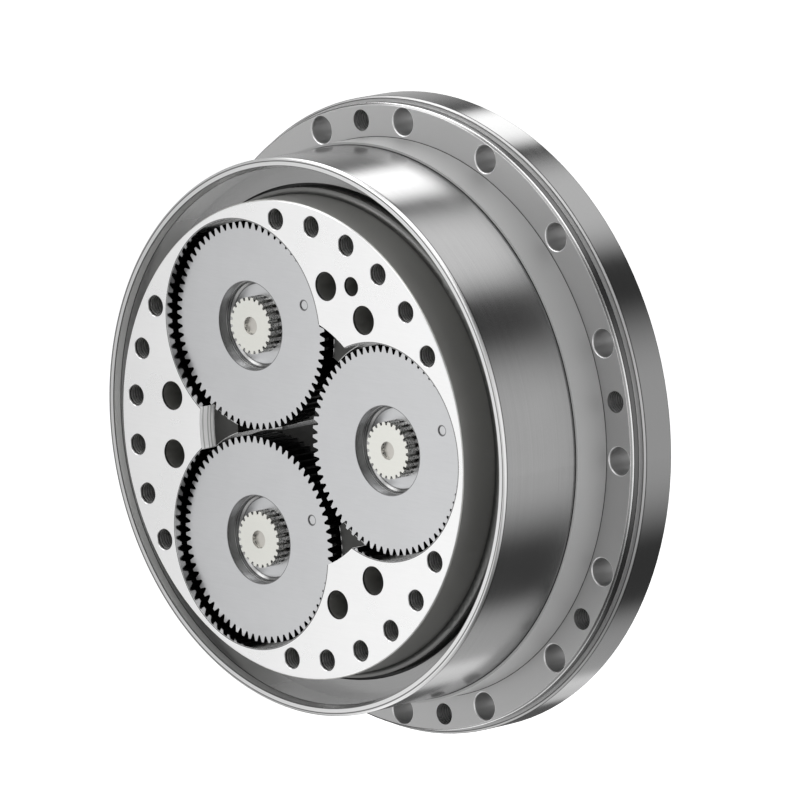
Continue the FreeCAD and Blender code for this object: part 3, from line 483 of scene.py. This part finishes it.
def gear_steel(name):
    """Ground face, counterbore wall greyed with painted shade, thin dark lines of painted shade on its edges,
    ring-shaped mark, and tooth flanks darkened with painted shade.
    """
    made, point, axes = new_shader(name)
    x, y, z = axes
    tone, grain, cloud = ground(made, point, axes, (0.62, 0.625, 0.635), 0.05)
    distance = made.crank_distance(x, z)
    depth = y - GEAR_FACE
    below = made.step(depth, 0.15 * MM, 0.35 * MM)
    teeth = made.step(distance, TOOTH_ROOT, TOOTH_ROOT + 0.3 * MM) * below
    wall = (1 - made.step(distance, COUNTERBORE_RADIUS, COUNTERBORE_RADIUS + 0.1 * MM)) * below
    wall = wall * (1 - made.step(depth, GEAR_FLOOR_DEPTH, GEAR_FLOOR_DEPTH + 0.1 * MM))
    mark = made.crank_distance(x, z, MARK_CIRCLE, MARK_ANGLE)
    # Thin dark lines of painted shade on the edges, and the mark's ring
    line = made.near_circles(distance, depth, GEAR_SHADE_LINES, 0.45 * MM)
    line = line + made.inside(mark, MARK_RADIUS - 0.3 * MM, MARK_RADIUS + 0.3 * MM, 0.2 * MM)
    # Painted shade: a greyer counterbore wall and dark tooth flanks
    tone = made.between(wall, tone, grey(0.46))
    tone = made.between(line * 0.7, tone, grey(0.05))
    tone = made.between(teeth, tone, made.between(cloud, grey(0.03), grey(0.08)))
    return made.surface(
        Base_Color=tone,
        Metallic=1.0,
        Roughness=0.30 + (cloud - 0.5) * 0.08,
        Normal=made.bump(grain, 0.10, 0.00001),
    )


def spline_steel(name):
    """Bright ground ends, and flanks between the teeth speckled with painted light and shade."""
    made, point, axes = new_shader(name)
    tone, grain, cloud = ground(made, point, axes, grey(0.80, 0.06), 0.03)
    # Speckles of painted light and shade on the flanks below the gear's face
    speck = made.noise(point, 1300.0, 3.0, 0.7)
    flank = made.between(made.step(speck, 0.38, 0.58), grey(0.05), grey(0.85, 0.03))
    below = made.step(axes[1] - GEAR_FACE, 0.1 * MM, 0.4 * MM)
    return made.surface(
        Base_Color=made.between(below, tone, flank),
        Metallic=1.0,
        Roughness=0.30 + below * 0.1 + (cloud - 0.5) * 0.1,
        Normal=made.bump(grain, 0.12, 0.00001),
    )


def plain_steel(name, colour, rough):
    """Small steel pieces with a faint uneven polish."""
    made, point, _ = new_shader(name)
    cloud = made.noise(point, 120.0, 3.0, 0.6)
    return made.surface(
        Base_Color=made.between(made.step(cloud, 0.3, 0.7), darker(colour, 0.08), colour),
        Metallic=1.0,
        Roughness=rough + (cloud - 0.5) * 0.12,
    )


def oiled_rubber(name):
    """Black seal rubber with a thin film of oil."""
    made, point, _ = new_shader(name)
    cloud = made.noise(point, 90.0, 4.0, 0.6)
    return made.surface(
        Base_Color=made.between(cloud, grey(0.012), grey(0.03)),
        Roughness=0.42 + (cloud - 0.5) * 0.2,
        Normal=made.bump(made.noise(point, 2500.0, 2.0), 0.2, 0.00002),
    )


MATERIALS = {
    "case_steel": case_steel("case_steel"),
    "carrier_steel": carrier_steel("carrier_steel"),
    "gear_steel": gear_steel("gear_steel"),
    "spline_steel": spline_steel("spline_steel"),
    "bearing_steel": plain_steel("bearing_steel", grey(0.45), 0.15),
    "disc_steel": plain_steel("disc_steel", grey(0.32), 0.30),
    "seal_steel": seal_steel("seal_steel"),
    "seal_rubber": oiled_rubber("seal_rubber"),
    "bolt_steel": plain_steel("bolt_steel", grey(0.10), 0.38),
    "cap_steel": plain_steel("cap_steel", grey(0.30), 0.32),
}
THREAD_STEEL = plain_steel("thread_steel", grey(0.20), 0.42)
CENTRE_STEEL = plain_steel("centre_steel", (0.62, 0.60, 0.56), 0.40)


def dress_nodes():
    """Gives every CAD node the finish of its slot in the record."""
    for entry in frame["record"]["subparts"]:
        mesh = frame["nodes"][entry["node"]].data
        mesh.materials.clear()
        mesh.materials.append(MATERIALS[entry["material_slot"]])


class Shape(Nodes):
    """A Geometry Nodes tree with named sizes, turned into one plain mesh."""

    def __init__(self, name, sizes):
        super().__init__(bpy.data.node_groups.new(name, "GeometryNodeTree"))
        self.sizes = sizes
        self.keys = {}
        outline = self.tree.interface
        outline.new_socket("Geometry", in_out="INPUT", socket_type="NodeSocketGeometry")
        for label in sizes:
            made = outline.new_socket(label, in_out="INPUT", socket_type="NodeSocketFloat")
            self.keys[label] = made.identifier
        outline.new_socket("Geometry", in_out="OUTPUT", socket_type="NodeSocketGeometry")
        self.entry = self.tree.nodes.new("NodeGroupInput")

    def size(self, label):
        return Socket(self, self.entry.outputs[label])

    def mesh(self, geometry, material, points):
        """The finished piece, from a seed mesh that holds only the points given."""
        whole = self.node("GeometryNodeRealizeInstances", {}, [geometry])
        painted = self.node("GeometryNodeSetMaterial", {}, {"Geometry": whole, "Material": material})
        self.node("NodeGroupOutput", {}, [painted])
        seed = bpy.data.meshes.new(self.tree.name + "_points")
        seed.from_pydata(points, [], [])
        made = new_object(self.tree.name, seed)
        modifier = made.modifiers.new(self.tree.name, "NODES")
        modifier.node_group = self.tree
        for label, value in self.sizes.items():
            modifier[self.keys[label]] = value
        solid = bpy.data.meshes.new_from_object(made.evaluated_get(bpy.context.evaluated_depsgraph_get()))
        made.modifiers.remove(modifier)
        made.data = solid
        return made


def new_object(name, data):
    made = bpy.data.objects.new(name, data)
    bpy.context.collection.objects.link(made)
    return made


def new_mesh(name, points, faces, material):
    mesh = bpy.data.meshes.new(name)
    mesh.from_pydata(points, [], faces)
    mesh.materials.append(material)
    return mesh


def threads(name, radius, turns, mouths, body, slot):
    """Thread turns inside the tapped holes whose mouths are given; the holes run along Y."""
    shape = Shape(name, {"Radius": radius, "Pitch": THREAD_PITCH, "Turns": turns, "Ridge": THREAD_RIDGE})
    inputs = {
        "Resolution": 32,
        "Rotations": shape.size("Turns"),
        "Start Radius": shape.size("Radius"),
        "End Radius": shape.size("Radius"),
        "Height": shape.size("Pitch") * shape.size("Turns"),
    }
    path = shape.node("GeometryNodeCurveSpiral", {}, inputs)
    inputs = {"Resolution": 4, "Radius": shape.size("Ridge")}
    profile = shape.node("GeometryNodeCurvePrimitiveCircle", {}, inputs)
    inputs = {"Curve": path, "Profile Curve": profile, "Fill Caps": True}
    coil = shape.node("GeometryNodeCurveToMesh", {}, inputs)
    lying = shape.node("GeometryNodeTransform", {}, {"Geometry": coil, "Rotation": (-math.pi / 2, 0, 0)})
    inputs = {"Points": shape.size("Geometry"), "Instance": lying}
    copies = shape.node("GeometryNodeInstanceOnPoints", {}, inputs)
    made = shape.mesh(copies, THREAD_STEEL, mouths)
    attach(made, body)


def on_circle(radius, turn, level):
    return (radius * math.cos(math.radians(turn)), level, radius * math.sin(math.radians(turn)))


def tapped_holes():
    turns = [
        CRANK_ANGLE + 60 + 120 * group + (index - (OUTPUT_GROUP - 1) / 2) * OUTPUT_PITCH
        for group in range(3)
        for index in range(OUTPUT_GROUP)
    ]
    mouths = [on_circle(OUTPUT_CIRCLE, turn, CARRIER_FACE + OUTPUT_THREAD_START) for turn in turns]
    threads("output_threads", *OUTPUT_THREAD, mouths, "carrier", "carrier_steel")
    turns = [90 + steps * FLANGE_PITCH / 2 for steps in JACKING_STEPS]
    mouths = [on_circle(FLANGE_CIRCLE, turn, JACKING_THREAD_START) for turn in turns]
    threads("jacking_threads", *JACKING_THREAD, mouths, "case", "case_steel")


def lathe(name, profile, sides, body, slot):
    """A closed ring about the reducer's axis from a closed profile of radius and Y."""
    count = len(profile)
    points = []
    for side in range(sides):
        turn = 2 * math.pi * side / sides
        points += [(radius * math.cos(turn), y, radius * math.sin(turn)) for radius, y in profile]
    faces = []
    for side in range(sides):
        this, after = side * count, (side + 1) % sides * count
        for step in range(count):
            follow = (step + 1) % count
            faces.append((this + step, after + step, after + follow, this + follow))
    mesh = new_mesh(name, points, faces, MATERIALS[slot])
    mesh.shade_smooth()
    mesh.set_sharp_from_angle(angle=math.radians(35))
    made = new_object(name, mesh)
    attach(made, body)


def rim_ring():
    """The rim's rounded outer edge and flat face, finely divided, a hair outside the solid."""
    lift = 0.03 * MM
    back = RIM_FACE + 3 * MM
    inner = RIM_OPENING + 0.1 * MM
    middle = (CASE_RADIUS - RIM_ROUNDING, RIM_FACE + RIM_ROUNDING)
    reach = RIM_ROUNDING + lift
    arc_steps = 8
    profile = [(CASE_RADIUS + lift, back)]
    for step in range(arc_steps + 1):
        turn = math.radians(90 * step / arc_steps)
        profile.append((middle[0] + reach * math.cos(turn), middle[1] - reach * math.sin(turn)))
    profile += [(inner, RIM_FACE - lift), (inner, RIM_FACE + 0.3 * MM), (CASE_RADIUS - 1.5 * MM, back)]
    lathe("rim_ring", profile, 720, "case", "case_steel")


def centre_holes():
    """The lit floor of the shallow centre hole in each crank's end."""
    sides = 48
    front = GEAR_FACE + CENTRE_HOLE_DEPTH
    back = front + CENTRE_FLOOR_THICKNESS
    turns = [360 * side / sides for side in range(sides)]
    faces = [tuple(range(sides)), tuple(range(2 * sides - 1, sides - 1, -1))]
    for side in range(sides):
        after = (side + 1) % sides
        faces.append((side, sides + side, sides + after, after))
    for number in CRANKS:
        x, z = crank_point(number)
        rims = [on_circle(CENTRE_HOLE_RADIUS, turn, level) for level in (front, back) for turn in turns]
        points = [(x + rim[0], rim[1], z + rim[2]) for rim in rims]
        name = f"centre_hole_floor_{number + 1}"
        made = new_object(name, new_mesh(name, points, faces, CENTRE_STEEL))
        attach(made, f"crank_{number + 1}")


def background():
    """White to the camera, three soft levels in reflections and a dimmer light on the surfaces."""
    world = bpy.data.worlds.new("studio")
    bpy.context.scene.world = world
    made = Shader(world)
    path = made.node("ShaderNodeLightPath").socket.node
    camera_ray, gloss_ray, clear_ray = (
        Socket(made, path.outputs[f"Is {kind} Ray"]) for kind in ("Camera", "Glossy", "Transmission")
    )
    height = made.place("Generated")[1][2]
    mirrored = MIRROR_LOW + made.step(height, -0.5, -0.1) * (MIRROR_MIDDLE - MIRROR_LOW)
    mirrored = mirrored + made.step(height, 0.25, 0.6) * (MIRROR_HIGH - MIRROR_MIDDLE)
    level = SCATTER_LEVEL + (gloss_ray + clear_ray) * (mirrored - SCATTER_LEVEL)
    level = level + camera_ray * (1 - level)
    sky = made.node("ShaderNodeBackground", {}, {"Strength": level})
    made.node("ShaderNodeOutputWorld", {}, {"Surface": sky})


def stage_piece(name, points, faces, material):
    made = new_object(name, new_mesh(name, points, faces, material))
    return made


def only_for_gloss(thing):
    for kind in ("camera", "diffuse", "transmission", "volume_scatter", "shadow"):
        setattr(thing, f"visible_{kind}", False)


def floor():
    """Pale floor below the reducer, which hangs on its flange. Polished steel mirrors the studio instead."""
    finish = Shader(bpy.data.materials.new("floor"))
    lit = finish.node("ShaderNodeBsdfDiffuse", {}, {"Color": (1, 1, 1, 1)})
    glow = finish.node("ShaderNodeEmission", {}, {"Strength": FLOOR_GLOW})
    both = finish.node("ShaderNodeAddShader", {}, [lit, glow])
    finish.node("ShaderNodeOutputMaterial", {}, {"Surface": both})
    corners = [(x * FLOOR_REACH, y * FLOOR_REACH, FLOOR_LEVEL) for x, y in SQUARE]
    plate = stage_piece("floor", corners, [(0, 1, 2, 3)], finish.owner)
    plate.visible_glossy = False


def sleeve():
    """A dim sleeve around the axis, with soft lit strips, that only polished metal sees."""
    finish, _, (x, _, z) = new_shader("sleeve")
    light = SLEEVE_SHADE
    for turn, reach, strength in STRIPS:
        towards = (x * math.cos(math.radians(turn)) + z * math.sin(math.radians(turn))) / SLEEVE_RADIUS
        edge = math.cos(math.radians(reach))
        middle = math.cos(math.radians(reach * 0.2))
        light = light + finish.step(towards, edge, middle) * strength
    sides = SLEEVE_SIDES
    points = [
        on_circle(SLEEVE_RADIUS, 360 * side / sides, level)
        for level in (-SLEEVE_REACH, SLEEVE_REACH)
        for side in range(sides)
    ]
    faces = [(side, (side + 1) % sides, sides + (side + 1) % sides, sides + side) for side in range(sides)]
    only_for_gloss(stage_piece("sleeve", points, faces, finish.glow(light)))


def card():
    """A large card that the flat faces mirror, dimmer towards the left."""
    finish, _, (x, y, _) = new_shader("card")
    along = x * CARD_ACROSS.x + y * CARD_ACROSS.y
    limits = {"From Min": -CARD_STRETCH, "From Max": CARD_STRETCH, "To Min": CARD_LEFT, "To Max": CARD_RIGHT}
    light = finish.node("ShaderNodeMapRange", {}, {"Value": along, **limits})
    across = CARD_ACROSS * CARD_HALF
    upward = CARD_MIDDLE.cross(CARD_ACROSS).normalized() * CARD_HALF
    corners = [tuple(CARD_MIDDLE + across * a + upward * b) for a, b in SQUARE]
    only_for_gloss(stage_piece("card", corners, [(0, 1, 2, 3)], finish.glow(light)))


def key_lamp():
    """A soft square lamp that faces the reducer."""
    data = bpy.data.lights.new("key", "AREA")
    data.size = KEY_SIZE
    data.energy = KEY_POWER
    made = new_object("key", data)
    made.location = KEY_PLACE
    made.rotation_mode = "QUATERNION"
    made.rotation_quaternion = (-Vector(KEY_PLACE)).to_track_quat("-Z", "Y")
    made.visible_camera = False
    made.visible_glossy = False


def camera():
    data = bpy.data.cameras.new("camera")
    data.sensor_width = SENSOR
    data.lens = CAMERA_LENS
    data.clip_end = 100
    made = new_object("camera", data)
    flat = math.cos(CAMERA_ELEVATION)
    back = (math.sin(CAMERA_AZIMUTH) * flat, -math.cos(CAMERA_AZIMUTH) * flat, math.sin(CAMERA_ELEVATION))
    made.location = CAMERA_PLACE
    made.rotation_mode = "QUATERNION"
    made.rotation_quaternion = (-Vector(back)).to_track_quat("-Z", "Y")
    bpy.context.scene.camera = made


dress_nodes()
tapped_holes()
rim_ring()
centre_holes()
background()
floor()
sleeve()
card()
key_lamp()
camera()
bpy.context.scene.view_settings.view_transform = "Standard"
